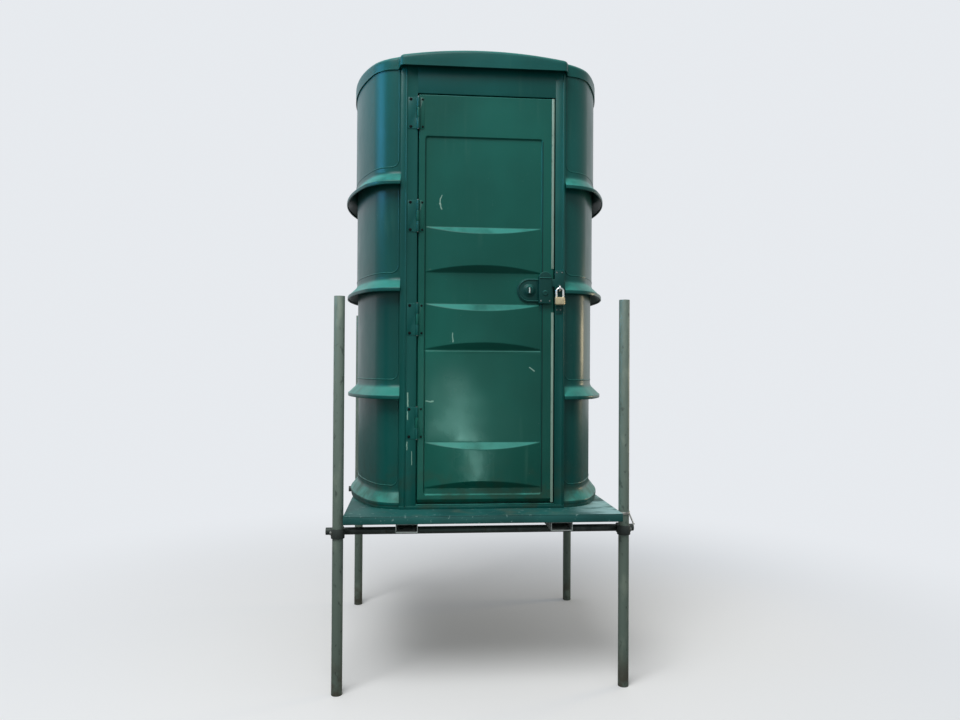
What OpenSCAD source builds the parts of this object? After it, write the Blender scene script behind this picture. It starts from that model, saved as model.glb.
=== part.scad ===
// Moulded outhouse cabin of stacked, skirted wall rings on a raised steel platform.
// Millimetres. The origin is at the middle of the footprint, level with the feet.
// The door faces -Y, +X is to its right and +Z is up.

/* [Platform] */
// Height of the deck's top over the feet
deck_h = 832; // [500:1:1200]
// Width of the deck
deck_w = 1280; // [1240:10:1480]
// Depth of the deck, front to back
deck_d = 1520; // [1450:10:1700]
// Thickness of the deck sheet
deck_t = 4; // [3:0.5:8]
// Height of the angle rails round the deck
rail_h = 33; // [26:1:60]
// Thickness of the angle rails
rail_t = 5; // [4:0.5:8]
// Width of a joist
joist_w = 100; // [70:5:140]
// Height of a joist
joist_h = 40; // [30:1:60]
// Wall of a joist
joist_t = 3; // [2:0.5:5]
// Distance from the middle of the deck to a joist's middle
joist_x = 355; // [250:5:450]
// Outer diameter of a post
post_d = 50; // [42:1:62]
// Wall of a post
post_t = 3; // [2:0.5:5]
// Height of a post's top over the deck
post_rise = 998; // [300:1:1300]
// Distance from the deck's front and back edges to the posts' middles
post_in = 100; // [60:5:140]
// Outer diameter of the ledger tubes under the joists
ledger_d = 34; // [26:1:48]
// Length of a ledger past a post's outside
ledger_over = 35; // [30:1:60]
// Wall of a post clamp
clamp_t = 6; // [4:1:10]
// Length of a clamp's collars
clamp_l = 44; // [30:2:60]
// Diameter of the tie wire
wire_d = 4; // [3:0.5:5]

/* [Cabin plan] */
// Depth of the cabin between its front and back faces
cabin_d = 1200; // [1100:10:1300]
// Half the width of the front, where the walls leave the jambs
front_half = 395; // [390:1:430]
// Radius of the bulged sides
side_r = 1082; // [900:1:1400]
// How far the wall ends stand behind the front face
wall_back = 30; // [20:1:40]
// Radius of the wall's corners in plan
corner_r = 150; // [110:5:180]
// Thickness of the moulded walls
wall_t = 6; // [4:0.5:9]

/* [Wall rings] */
// Height of the floor pan
pan_h = 16; // [12:1:18]
// Height of the low hoop's lip over the deck
hoop_low = 520; // [400:1:600]
// Height of the middle hoop's lip over the deck
hoop_mid = 1030; // [900:1:1100]
// Height of the top hoop's lip over the deck
hoop_top = 1535; // [1450:1:1650]
// Height of the walls over the deck
wall_top = 2123; // [2070:1:2250]
// How far a hoop's lip stands out from its wall
hoop_reach = 50; // [30:1:60]
// Height of a hoop's sloping face
hoop_slope = 48; // [30:1:70]
// Height of a hoop's lip
hoop_lip = 14; // [6:1:20]
// How far the foot flange stands out
foot_reach = 38; // [25:1:50]
// Height of the foot flange's slope
foot_slope = 50; // [30:1:60]
// Height of the foot flange's lip
foot_lip = 12; // [8:1:30]
// Radius between a slope and its wall
hoop_fillet = 34; // [15:1:50]
// How far a ring's top tucks up inside the ring above
ring_lap = 28; // [15:1:60]

/* [Door] */
// Width of the door leaf
door_w = 650; // [600:5:650]
// Height of the door leaf
door_h = 1940; // [1930:1:1980]
// Thickness of the leaf's edges
door_t = 30; // [24:1:36]
// Height of the leaf's bottom over the deck
door_z = 28; // [26:1:60]
// Distance from the middle of the front to the leaf's middle, towards the latch
door_x = 15; // [0:1:20]
// Gap round the leaf
door_gap = 6.5; // [6.5:0.5:8]
// How far the stops reach behind the leaf
stop_w = 18; // [12:1:30]
// Skin of the leaf
skin_t = 6; // [4:0.5:8]
// Depth of the leaf's sunk field
field_sink = 8; // [5:1:12]
// Width of the hinge stile
stile_hinge = 30; // [24:1:45]
// Width of the latch stile
stile_latch = 55; // [40:1:70]
// Height of the top rail
rail_top = 195; // [120:5:260]
// Height of the bottom rail
rail_bottom = 37; // [28:1:60]
// How far a pressed rib stands out of the field
rib_rise = 28; // [15:1:36]
// Height of a rib
rib_h = 217; // [130:1:222]
// Slope of a rib's top and bottom faces, as height for each unit of depth
rib_slant = 1.2; // [0.6:0.05:1.6]
// Height of the low rib's bottom over the deck
rib_low = 99; // [90:1:160]
// Height of the middle rib's bottom over the deck
rib_mid = 757; // [600:1:762]
// Height of the top rib's bottom over the deck
rib_top = 1124; // [1104:1:1250]
// Height of the slanted face under the leaf's foot
toe_h = 18; // [8:1:24]
// Depth of the slanted face under the leaf's foot
toe_d = 16; // [8:1:20]

/* [Hinges and latch] */
// Length of a hinge
hinge_l = 150; // [100:2:160]
// Height of the lowest hinge's middle over the deck
hinge_low = 408; // [300:1:420]
// Distance between hinges
hinge_pitch = 490; // [400:5:495]
// Diameter of a hinge barrel
barrel_d = 14; // [12:0.5:18]
// Diameter of a hinge pin
pin_d = 6; // [5:0.5:8]
// Width of a hinge leaf
hinge_w = 40; // [30:1:50]
// Thickness of a hinge leaf
hinge_t = 2; // [1.5:0.5:3]
// Height of the latch's middle over the deck
latch_z = 1043; // [1039:1:1064]
// Height of the latch plate, which is also its round end's diameter
latch_h = 116; // [90:2:124]
// Width of the latch plate
latch_w = 102; // [80:2:120]
// Width of the latch case
case_w = 62; // [50:1:70]
// Depth of the latch case
case_d = 22; // [15:1:30]
// Width of the padlock's body
lock_w = 48; // [40:1:60]
// Height of the padlock's body
lock_h = 38; // [30:1:60]
// Thickness of the padlock's body
lock_t = 20; // [14:1:26]
// Diameter of the shackle's bar
shackle_d = 11; // [8:0.5:12]
// Straight length of the shackle's legs over the body
shackle_leg = 26; // [10:1:40]

/* [Roof] */
// Height of the roof's rim over its lowest edge, at the middle of the front
roof_rim = 80; // [60:5:120]
// Rise of the dome over the top of the rim
roof_rise = 85; // [50:5:140]
// How far the roof's rim laps down over the walls
roof_lap = 30; // [15:1:60]
// How far the visor stands out over the door
visor = 40; // [20:1:60]

/* [Hidden] */
$fn = 96;

// Seat clearance between curved pieces that nest
fit = 0.3;
// Overlap that lets a cut pass cleanly through a face
cut = 1;

// Platform
rail_top_z = deck_h - deck_t;
rail_low_z = rail_top_z - rail_h;
joist_low_z = rail_low_z - joist_h;
ledger_z = joist_low_z - ledger_d / 2;
post_gap = wire_d + 2;
post_x = deck_w / 2 + post_gap + post_d / 2;
post_y = deck_d / 2 - post_in;
ledger_y = post_y - post_d / 2 - ledger_d / 2 - clamp_t;

// Cabin plan: a corner arc and a side arc, tangent to each other
front_y = -cabin_d / 2;
half_d = cabin_d / 2 - wall_back;
corner_y = half_d - corner_r;
side_a = asin(corner_y / (side_r - corner_r));
side_x = front_half - (side_r - corner_r) * cos(side_a);

// Wall rings, counted from the foot: each tucks inside the ring above
ring_step = wall_t + fit;
ring_z = [pan_h, hoop_low, hoop_mid, hoop_top, wall_top];
ring_count = 4;

// Door opening
leaf_left = door_x - door_w / 2;
leaf_right = door_x + door_w / 2;
open_left = leaf_left - door_gap;
open_right = leaf_right + door_gap;
leaf_top = door_z + door_h;
bead_r = 4;
bead_edge = 9;
stop_y = front_y + door_t + door_gap;
stop_reach = door_gap + stop_w;
field_y = front_y + field_sink;
field_left = leaf_left + stile_hinge;
field_right = leaf_right - stile_latch;
field_half = (field_right - field_left) / 2;
field_x = (field_right + field_left) / 2;

// Hinge axis, in front of the gap between jamb and leaf
axis_x = leaf_left - door_gap / 2;
axis_y = front_y - barrel_d / 2 - 1;
hinge_count = 4;
knuckle_gap = 1;
wing = barrel_d / 2 + 2;
stile_margin = 5;
stile_leaf_w = field_left - stile_margin - axis_x - wing;
hinge_bead = front_half + axis_x - wing - hinge_w - 2 - bead_r;

// Latch
case_left = leaf_right - stile_latch - 20;
hasp_t = 5;
hasp_w = 46;
hasp_clear = 10;
hasp_y = front_y - hasp_clear - hasp_t;
hasp_x = open_right + hasp_w / 2 - 4;
lug_t = 8;
lug_r = 17;
lug_wall = 3;
lug_z = latch_z + 10;
shackle_play = 1;
shackle_margin = 2;
shackle_half = lock_w / 2 - shackle_d / 2 - shackle_margin;
shackle_y = hasp_y - lug_r + lug_wall + shackle_play + shackle_d / 2;

function arc_points(cx, cy, r, a0, a1, n) =
    [for (i = [0:n]) [cx + r * cos(a0 + (a1 - a0) * i / n), cy + r * sin(a0 + (a1 - a0) * i / n)]];

// Outline of a ring's wall: x is the distance out from its outer face, y the height over its lip
function ring_profile(reach, slope, lip, top) =
    let (
        lean = atan2(reach, slope),
        bend = hoop_fillet * tan(lean / 2),
        edge = wall_t * tan(lean / 2),
        bend_y = lip + slope + bend,
        steps = 5
    )
    concat(
        [[0, top]],
        arc_points(hoop_fillet, bend_y, hoop_fillet, 180, 180 + lean, steps),
        [[reach, lip], [reach, 0], [reach - wall_t, 0], [reach - wall_t, lip - edge]],
        arc_points(hoop_fillet, bend_y, hoop_fillet + wall_t, 180 + lean, 180, steps),
        [[-wall_t, top]]
    );

// Height over the lip at which a hoop's slope has turned into the upright wall
function hoop_turn() = hoop_lip + hoop_slope + hoop_fillet * tan(atan2(hoop_reach, hoop_slope) / 2);

// Profile of ring k, moved inwards by the rings it tucks under
function ring_outline(k) =
    let (
        inset = (ring_count - 1 - k) * ring_step,
        tuck = k < ring_count - 1 ? hoop_turn() + ring_lap : 0,
        top = ring_z[k + 1] + tuck - ring_z[k],
        reach = k == 0 ? foot_reach : hoop_reach,
        slope = k == 0 ? foot_slope : hoop_slope,
        lip = k == 0 ? foot_lip : hoop_lip
    )
    [for (p = ring_profile(reach, slope, lip, top)) [p[0] - inset, p[1] + deck_h + ring_z[k]]];

// One side of a ring, for the +X side: a corner arc and half the bulge meet where they are tangent,
// the halves meet at the middle plane
module ring_side(k) {
    outline = ring_outline(k);
    size = 4 * side_r;
    for (end = [0, 1])
        mirror([0, end, 0])
            intersection() {
                translate([front_half, -corner_y, 0])
                    rotate([0, 0, -side_a]) {
                        mirror([0, 1, 0])
                            rotate_extrude(angle = 90 - side_a) translate([corner_r, 0]) polygon(outline);
                        translate([corner_r - side_r, 0, 0])
                            rotate_extrude(angle = side_a + 1, $fn = 360) translate([side_r, 0]) polygon(outline);
                    }
                translate([0, -size, 0]) cube([size, size, size]);
            }
}

// The straight back of a ring
module ring_back(k) {
    translate([-front_half, half_d, 0])
        rotate([90, 0, 90])
            linear_extrude(height = 2 * front_half) polygon(ring_outline(k));
}

module left_wall(k) { color("#1f5f66") mirror([1, 0, 0]) ring_side(k); }
module right_wall(k) { color("#2c5244") ring_side(k); }
module back_wall(k) { color("#24574f") ring_back(k); }

// Solid of the cabin's plan, moved out by o from the top ring's outer face
module plan_prism(o, z, h) {
    join_y = corner_y + (corner_r + o) * sin(side_a);
    translate([0, 0, z]) {
        translate([-front_half, -half_d - o, 0]) cube([2 * front_half, 2 * (half_d + o), h]);
        for (sx = [-1, 1], sy = [-1, 1])
            translate([sx * front_half, sy * corner_y, 0]) cylinder(r = corner_r + o, h = h);
        intersection() {
            translate([side_x, 0, 0]) cylinder(r = side_r + o, h = h, $fn = 360);
            translate([-side_x, 0, 0]) cylinder(r = side_r + o, h = h, $fn = 360);
            translate([-side_r, -join_y, 0]) cube([2 * side_r, 2 * join_y, h]);
        }
    }
}

module post(sx, sy) {
    color("#6f8880")
        translate([sx * post_x, sy * post_y, 0])
            difference() {
                cylinder(d = post_d, h = deck_h + post_rise);
                translate([0, 0, -cut]) cylinder(d = post_d - 2 * post_t, h = deck_h + post_rise + 2 * cut);
            }
}

// Two collars at right angles, one on the post and one on the ledger behind it
module clamp(sx, sy) {
    post_hole = post_d / 2 + fit;
    ledger_hole = ledger_d / 2 + fit;
    gap_y = post_y - ledger_y;
    color("#4c5654")
        translate([sx * post_x, sy * post_y, ledger_z])
            mirror([0, sy > 0 ? 1 : 0, 0])
                difference() {
                    union() {
                        translate([0, 0, -clamp_l / 2]) cylinder(r = post_hole + clamp_t, h = clamp_l);
                        translate([-clamp_l / 2, gap_y, 0])
                            rotate([0, 90, 0]) cylinder(r = ledger_hole + clamp_t, h = clamp_l);
                    }
                    translate([0, 0, -clamp_l]) cylinder(r = post_hole, h = 2 * clamp_l);
                    translate([-clamp_l, gap_y, 0]) rotate([0, 90, 0]) cylinder(r = ledger_hole, h = 2 * clamp_l);
                }
}

module post_clamps() { for (sx = [-1, 1], sy = [-1, 1]) clamp(sx, sy); }

module ledger(sy) {
    length = 2 * (post_x + post_d / 2 + ledger_over);
    color("#3b4442")
        translate([-length / 2, sy * ledger_y, ledger_z])
            rotate([0, 90, 0])
                difference() {
                    cylinder(d = ledger_d, h = length);
                    translate([0, 0, -cut]) cylinder(d = ledger_d - 2 * joist_t, h = length + 2 * cut);
                }
}

module joist(sx) {
    length = deck_d - 2 * rail_t;
    color("#9aa6a2")
        translate([sx * joist_x, 0, joist_low_z + joist_h / 2])
            difference() {
                cube([joist_w, length, joist_h], center = true);
                cube([joist_w - 2 * joist_t, length + 2 * cut, joist_h - 2 * joist_t], center = true);
            }
}

// Angle rail: its upright leg faces out and its flat leg carries the sheet
module rail(length) {
    translate([-length / 2, 0, rail_low_z]) {
        cube([length, rail_t, rail_h]);
        translate([0, 0, rail_h - rail_t]) cube([length, rail_h * 0.8, rail_t]);
    }
}

module rail_end(sy) {
    color("#2f6f66") mirror([0, sy > 0 ? 1 : 0, 0]) translate([0, -deck_d / 2, 0]) rail(deck_w);
}

module rail_side(sx) {
    length = deck_d - 2 * rail_h * 0.8;
    color("#2f6f66") rotate([0, 0, sx * 90]) translate([0, -deck_w / 2, 0]) rail(length);
}

module deck_sheet() {
    color("#4f8a80")
        translate([-deck_w / 2, -deck_d / 2, rail_top_z]) cube([deck_w, deck_d, deck_t]);
}

// Turns of wire round the front right post, with the twisted ends turned down
module tie_wire() {
    turn_r = post_d / 2 + fit + wire_d / 2;
    turns = 3;
    pitch = wire_d * 0.8;
    turn_z = rail_top_z - wire_d * turns;
    tail = 60;
    color("#a9aca6")
        translate([post_x, -post_y, turn_z]) {
            for (i = [0:turns - 1])
                translate([0, 0, i * pitch]) rotate_extrude() translate([turn_r, 0]) circle(d = wire_d, $fn = 16);
            rotate([0, 0, -45])
                translate([turn_r + wire_d * 0.4, 0, 0])
                    rotate([0, 150, 0]) cylinder(d = wire_d * 1.6, h = tail, $fn = 16);
        }
}

// Moulded floor tray: a skin on a rim that stands on the deck
module floor_pan() {
    edge = foot_reach - (ring_count - 1) * ring_step - wall_t / 2;
    color("#26504a")
        difference() {
            union() {
                plan_prism(edge, deck_h, pan_h);
                translate([-front_half, front_y, deck_h]) cube([2 * front_half, wall_back, pan_h]);
            }
            plan_prism(edge - 2 * wall_t, deck_h - cut, pan_h - wall_t + cut);
        }
}

module sill() {
    rise = door_z - door_gap - pan_h;
    color("#2e6a60") {
        translate([open_left, front_y, deck_h + pan_h])
            cube([open_right - open_left, stop_y - front_y, rise]);
        translate([open_left + stop_reach, stop_y - cut, deck_h + pan_h])
            cube([open_right - open_left - 2 * stop_reach, wall_back * 2 + front_y - stop_y + cut, rise + stop_w]);
    }
}

// Upright channel from its outer edge to the opening, with a stop behind the leaf and beads
module jamb(width, beads) {
    depth = 2 * wall_back + wall_t;
    height = wall_top - pan_h;
    translate([0, front_y, deck_h + pan_h]) {
        cube([width, wall_t, height]);
        cube([wall_t, depth, height]);
        translate([width - wall_t, 0, 0]) cube([wall_t, stop_y - front_y + wall_t, height]);
        translate([width - wall_t, stop_y - front_y, 0]) cube([wall_t + stop_reach, wall_t, height]);
        for (x = beads) translate([x, 0, 0]) cylinder(r = bead_r, h = height);
    }
}

module jamb_left() {
    color("#225a55") translate([-front_half, 0, 0]) jamb(open_left + front_half, [hinge_bead]);
}

module jamb_right() {
    color("#225a55") mirror([1, 0, 0]) translate([-front_half, 0, 0]) jamb(front_half - open_right, [bead_edge]);
}

module header() {
    low = deck_h + leaf_top + door_gap;
    span = open_right - open_left;
    color("#225a55") {
        translate([open_left, front_y, low]) cube([span, wall_t, deck_h + wall_top - low]);
        translate([open_left, front_y, low]) cube([span, stop_y - front_y, wall_t]);
        translate([open_left + stop_reach, stop_y - cut, low - stop_w])
            cube([span - 2 * stop_reach, wall_t, stop_w + wall_t]);
    }
}

// Domed cap: a sphere cut to the plan, with a rim round the walls and a visor over the door
module roof() {
    rim_z = deck_h + wall_top - roof_lap;
    crown = roof_rim + roof_rise;
    edge_r = cabin_d / 2 + visor;
    visor_half = front_half + fit + wall_t;
    dome_r = (edge_r * edge_r + roof_rise * roof_rise) / (2 * roof_rise);
    color("#1f5750")
        difference() {
            intersection() {
                union() {
                    plan_prism(ring_step, rim_z, crown);
                    translate([-visor_half, front_y - visor, rim_z])
                        cube([2 * visor_half, visor + 2 * wall_back, crown]);
                }
                translate([0, 0, rim_z + crown - dome_r]) sphere(r = dome_r, $fn = 180);
            }
            intersection() {
                union() {
                    plan_prism(fit, rim_z - cut, crown);
                    translate([wall_t - visor_half, front_y - visor + wall_t, rim_z - cut])
                        cube([2 * (visor_half - wall_t), visor + 2 * wall_back, crown]);
                }
                translate([0, 0, rim_z + crown - dome_r]) sphere(r = dome_r - wall_t, $fn = 180);
            }
        }
}

// One pressed rib: bowed across the field, with slanted faces above and below
module rib(z, inset) {
    rise = rib_rise - inset;
    half = field_half - inset;
    bow_r = (half * half + rise * rise) / (2 * rise);
    low = z + inset;
    high = z + rib_h - inset;
    reach = rib_rise + cut;
    slant = (reach + inset) * rib_slant;
    intersection() {
        translate([field_x, field_y - rise + bow_r, 0]) cylinder(r = bow_r, h = 2 * (deck_h + z), $fn = 360);
        translate([field_x - half, field_y, deck_h])
            rotate([90, 0, 90])
                linear_extrude(height = 2 * half)
                    polygon([[inset, low], [-reach, low + slant], [-reach, high - slant], [inset, high]]);
    }
}

// Wedge cut away under the leaf's front, so that its lowest face slants back
module toe_cut() {
    slope = toe_h / toe_d;
    translate([leaf_left - cut, front_y, deck_h + door_z])
        rotate([90, 0, 90])
            linear_extrude(height = door_w + 2 * cut)
                polygon([[-cut, toe_h + cut * slope], [toe_d + cut / slope, -cut], [-cut, -cut]]);
}

module door_leaf() {
    back_in = 26;
    color("#235a50")
        difference() {
            union() {
                difference() {
                    translate([leaf_left, front_y, deck_h + door_z]) cube([door_w, door_t, door_h]);
                    translate([field_left, front_y - cut, deck_h + door_z + rail_bottom])
                        cube([2 * field_half, field_sink + cut, door_h - rail_top - rail_bottom]);
                }
                for (z = [rib_low, rib_mid, rib_top]) rib(z, 0);
            }
            translate([leaf_left + back_in, field_y + skin_t, deck_h + door_z + back_in])
                cube([door_w - 2 * back_in, door_t, door_h - 2 * back_in]);
            for (z = [rib_low, rib_mid, rib_top]) rib(z, skin_t);
            toe_cut();
        }
}

module door_edge_trim() {
    trim_w = 12;
    trim_t = 3;
    gap_half = 105;
    color("#c3d2c8")
        for (z = [[door_z, latch_z - gap_half], [latch_z + gap_half, leaf_top]])
            translate([leaf_right - trim_w, front_y - trim_t, deck_h + z[0]]) cube([trim_w, trim_t, z[1] - z[0]]);
}

// A hinge leaf on the +X side of the pin, with the knuckles listed by their ends
module hinge_leaf(width, knuckles) {
    translate([wing, barrel_d / 2 + 1 - hinge_t, 0]) cube([width, hinge_t, hinge_l]);
    for (k = knuckles) {
        difference() {
            union() {
                translate([0, 0, k[0]]) cylinder(d = barrel_d, h = k[1] - k[0]);
                translate([0, barrel_d / 2 - 2, k[0]]) cube([wing + 1, 3, k[1] - k[0]]);
            }
            translate([0, 0, k[0] - cut]) cylinder(r = pin_d / 2 + 0.1, h = k[1] - k[0] + 2 * cut);
        }
    }
}

module at_hinges() {
    for (i = [0:hinge_count - 1])
        translate([axis_x, axis_y, deck_h + hinge_low + i * hinge_pitch - hinge_l / 2]) children();
}

module hinge_leaves_jamb() {
    third = hinge_l / 3;
    color("#2b5f5a")
        at_hinges()
            mirror([1, 0, 0])
                hinge_leaf(hinge_w, [[0, third - knuckle_gap], [2 * third + knuckle_gap, hinge_l]]);
}

module hinge_leaves_door() {
    third = hinge_l / 3;
    color("#2b5f5a") at_hinges() hinge_leaf(stile_leaf_w, [[third, 2 * third]]);
}

module hinge_pins() {
    head = 3;
    color("#8c9592")
        at_hinges() {
            cylinder(d = pin_d, h = hinge_l);
            translate([0, 0, hinge_l]) cylinder(d = pin_d + 4, h = head);
            translate([0, 0, -head]) cylinder(d = pin_d + 4, h = head);
        }
}

// Plate in the sunk field, its left end round, that ends at the case
module latch_plate() {
    plate_t = field_sink;
    round_x = latch_h / 2 - latch_w;
    color("#1f4f48")
        translate([case_left, field_y, deck_h + latch_z])
            rotate([90, 0, 0]) {
                intersection() {
                    translate([round_x, 0, 0]) cylinder(d = latch_h, h = plate_t);
                    translate([-latch_w, -latch_h, 0]) cube([latch_w, 2 * latch_h, plate_t]);
                }
                translate([round_x, -latch_h / 2, 0]) cube([-round_x, latch_h, plate_t]);
            }
}

// Case with a round top, stepped over the edge of the sunk field
module latch_case() {
    low = latch_z - latch_h / 2 - 6;
    high = latch_z + latch_h / 2;
    color("#1c4540") {
        translate([case_left, front_y - case_d, deck_h + low]) cube([case_w, case_d, high - low]);
        translate([case_left + case_w / 2, front_y, deck_h + high])
            rotate([90, 0, 0]) cylinder(d = case_w, h = case_d);
        translate([case_left, front_y, deck_h + low])
            cube([field_right - case_left, field_sink, high - low]);
    }
}

// Arm from the case to an upright plate in front of the jamb
module hasp() {
    arm_h = 36;
    plate_low = latch_z - 5;
    plate_high = latch_z + 96;
    color("#233f3b")
        translate([0, 0, deck_h]) {
            translate([case_left + case_w, hasp_y, latch_z + 18])
                cube([hasp_x - case_left - case_w, hasp_t, arm_h]);
            translate([hasp_x - hasp_w / 2, hasp_y, plate_low]) cube([hasp_w, hasp_t, plate_high - plate_low]);
        }
}

// Half-round lug that stands out of the hasp's plate, with a hole for the shackle
module hasp_staple() {
    color("#c9cdca")
        translate([hasp_x, hasp_y, deck_h + lug_z])
            difference() {
                intersection() {
                    translate([-lug_t / 2, 0, 0]) rotate([0, 90, 0]) cylinder(r = lug_r, h = lug_t);
                    translate([-lug_t, -2 * lug_r, -2 * lug_r]) cube([2 * lug_t, 2 * lug_r, 4 * lug_r]);
                }
                translate([-lug_t, shackle_y - hasp_y, 0])
                    rotate([0, 90, 0]) cylinder(d = shackle_d + 2 * shackle_play, h = 2 * lug_t);
            }
}

// Small plate on the jamb, between the opening and the jamb's bead
module jamb_keeper() {
    edge = 3;
    keeper_t = 3;
    keeper_h = 40;
    below = 112;
    width = front_half - bead_edge - bead_r - edge - open_right - edge;
    color("#2a3b38")
        translate([open_right + edge, front_y - keeper_t, deck_h + latch_z - below])
            cube([width, keeper_t, keeper_h]);
}

module padlock_body() {
    color("#b59a55")
        translate([hasp_x, shackle_y, deck_h + lug_z - shackle_half - shackle_leg - lock_h / 2])
            cube([lock_w, lock_t, lock_h], center = true);
}

// Bar bent to an arch over the lug, its legs standing in the body
module padlock_shackle() {
    color("#c9cdca")
        translate([hasp_x, shackle_y, deck_h + lug_z - shackle_half])
            rotate([90, 0, 0]) {
                rotate_extrude(angle = 180) translate([shackle_half, 0]) circle(d = shackle_d, $fn = 24);
                for (side = [-1, 1])
                    translate([side * shackle_half, 0, 0])
                        rotate([90, 0, 0]) cylinder(d = shackle_d, h = shackle_leg, $fn = 24);
            }
}

post(-1, -1);  // post_front_left
post(1, -1);  // post_front_right
post(-1, 1);  // post_back_left
post(1, 1);  // post_back_right
post_clamps();
ledger(-1);  // ledger_front
ledger(1);  // ledger_back
joist(-1);  // joist_left
joist(1);  // joist_right
rail_end(-1);  // rail_front
rail_end(1);  // rail_back
rail_side(-1);  // rail_left
rail_side(1);  // rail_right
deck_sheet();
tie_wire();
floor_pan();
sill();
jamb_left();
jamb_right();
header();
left_wall(0);  // left_wall_foot
left_wall(1);  // left_wall_low
left_wall(2);  // left_wall_mid
left_wall(3);  // left_wall_top
right_wall(0);  // right_wall_foot
right_wall(1);  // right_wall_low
right_wall(2);  // right_wall_mid
right_wall(3);  // right_wall_top
back_wall(0);  // back_wall_foot
back_wall(1);  // back_wall_low
back_wall(2);  // back_wall_mid
back_wall(3);  // back_wall_top
roof();
hinge_leaves_jamb();
hinge_pins();
jamb_keeper();
door_leaf();
door_edge_trim();
hinge_leaves_door();
latch_plate();
latch_case();
hasp();
hasp_staple();
padlock_body();
padlock_shackle();
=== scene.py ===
# %% [markdown]
# # A moulded outhouse cabin on a raised steel platform
#
# The cabin is thin plastic, formed as four stacked rings whose feet flare out into skirts, with a pressed
# door in front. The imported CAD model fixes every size. This lesson puts the fine shapes and the finishes on
# it: each new piece stands exactly where its CAD node stands and rides on the same body.

# %% Load the frame
import math

import bmesh
import bpy
import numpy as np
from mathutils import Matrix, Vector


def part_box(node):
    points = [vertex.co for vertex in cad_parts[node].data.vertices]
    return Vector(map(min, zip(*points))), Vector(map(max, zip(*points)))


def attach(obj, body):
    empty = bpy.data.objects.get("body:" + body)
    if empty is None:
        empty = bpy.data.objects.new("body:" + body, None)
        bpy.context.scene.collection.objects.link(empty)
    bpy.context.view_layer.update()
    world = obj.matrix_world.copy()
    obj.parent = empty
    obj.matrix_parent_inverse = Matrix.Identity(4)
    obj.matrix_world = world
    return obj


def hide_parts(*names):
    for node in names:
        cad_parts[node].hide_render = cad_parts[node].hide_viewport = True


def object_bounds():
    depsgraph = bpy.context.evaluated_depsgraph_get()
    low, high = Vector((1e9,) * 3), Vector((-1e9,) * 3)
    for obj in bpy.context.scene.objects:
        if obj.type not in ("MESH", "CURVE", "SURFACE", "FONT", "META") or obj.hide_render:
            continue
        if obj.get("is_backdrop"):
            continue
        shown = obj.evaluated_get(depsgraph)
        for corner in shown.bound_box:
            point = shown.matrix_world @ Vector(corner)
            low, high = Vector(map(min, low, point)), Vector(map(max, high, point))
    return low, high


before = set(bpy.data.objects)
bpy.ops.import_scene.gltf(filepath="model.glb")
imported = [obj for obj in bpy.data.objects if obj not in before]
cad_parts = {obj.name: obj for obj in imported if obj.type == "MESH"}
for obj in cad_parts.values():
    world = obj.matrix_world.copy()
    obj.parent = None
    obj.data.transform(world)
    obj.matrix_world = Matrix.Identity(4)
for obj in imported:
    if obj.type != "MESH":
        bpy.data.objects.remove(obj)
cad_low, cad_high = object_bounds()
print("CAD box", [round(v, 3) for v in (*cad_low, *cad_high)])

# %% [markdown]
# ## Sizes
#
# Most sizes are read from the boxes of the CAD nodes, so the dressed model can't drift from them. A few
# thicknesses and radii can't be read from a box, and are given here as the moulder's drawing would give them.

# %% Sizes of the cabin, in metres
DECK_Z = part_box("deck_sheet")[1].z
FRONT_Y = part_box("header")[0].y
WALL, FIT = 0.006, 0.0003
RING_STEP = WALL + FIT
CORNER_R, SIDE_R, HOOP_REACH = 0.150, 1.082, 0.050
FRONT_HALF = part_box("back_wall_top")[1].x
HALF_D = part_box("back_wall_top")[1].y - HOOP_REACH
CORNER_Y = HALF_D - CORNER_R
SIDE_TURN = math.asin(CORNER_Y / (SIDE_R - CORNER_R))
SIDE_X = FRONT_HALF - (SIDE_R - CORNER_R) * math.cos(SIDE_TURN)
leaf_low, leaf_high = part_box("door_leaf")
print("deck at", round(DECK_Z, 3), "front at", round(FRONT_Y, 3))

# %% [markdown]
# ## Helpers for node trees
#
# Geometry Nodes and shader trees are both built by adding nodes and linking sockets. Two functions do that.
# One small class wraps an output socket, so that shader maths can be written as ordinary Python sums.

# %% Node helpers
def set_inputs(tree, node, inputs):
    """Sets a node's inputs: a socket is linked, anything else is a plain value."""
    for key, value in inputs.items():
        if isinstance(value, Value):
            value = value.socket
        if isinstance(value, bpy.types.NodeSocket):
            tree.links.new(value, node.inputs[key])
        else:
            node.inputs[key].default_value = value


def add_node(tree, kind, inputs=None, settings=None):
    """Adds a node, its settings first and then its inputs, and gives its outputs."""
    made = tree.nodes.new(kind)
    for name, value in (settings or {}).items():
        setattr(made, name, value)
    set_inputs(tree, made, inputs or {})
    return made.outputs


class Value:
    """A number that varies over the surface: an output socket that can be added, multiplied and so on."""

    def __init__(self, tree, socket):
        self.tree = tree
        self.socket = socket

    def math(self, operation, *terms, clamp=False):
        settings = {"operation": operation, "use_clamp": clamp}
        return Value(self.tree, add_node(self.tree, "ShaderNodeMath", dict(enumerate(terms)), settings)[0])

    def __add__(self, other):
        return self.math("ADD", self, other)

    def __sub__(self, other):
        return self.math("SUBTRACT", self, other)

    def __rsub__(self, other):
        return self.math("SUBTRACT", other, self)

    def __mul__(self, other):
        return self.math("MULTIPLY", self, other)

    def larger(self, other):
        return self.math("MAXIMUM", self, other)

    def clamped(self):
        return self.math("ADD", self, 0.0, clamp=True)

    def between(self, low, high):
        """0 at low, 1 at high, with a smooth step from one to the other."""
        inputs = {"Value": self, "From Min": low, "From Max": high}
        made = add_node(self.tree, "ShaderNodeMapRange", inputs, {"interpolation_type": "SMOOTHSTEP"})
        return Value(self.tree, made["Result"])


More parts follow.
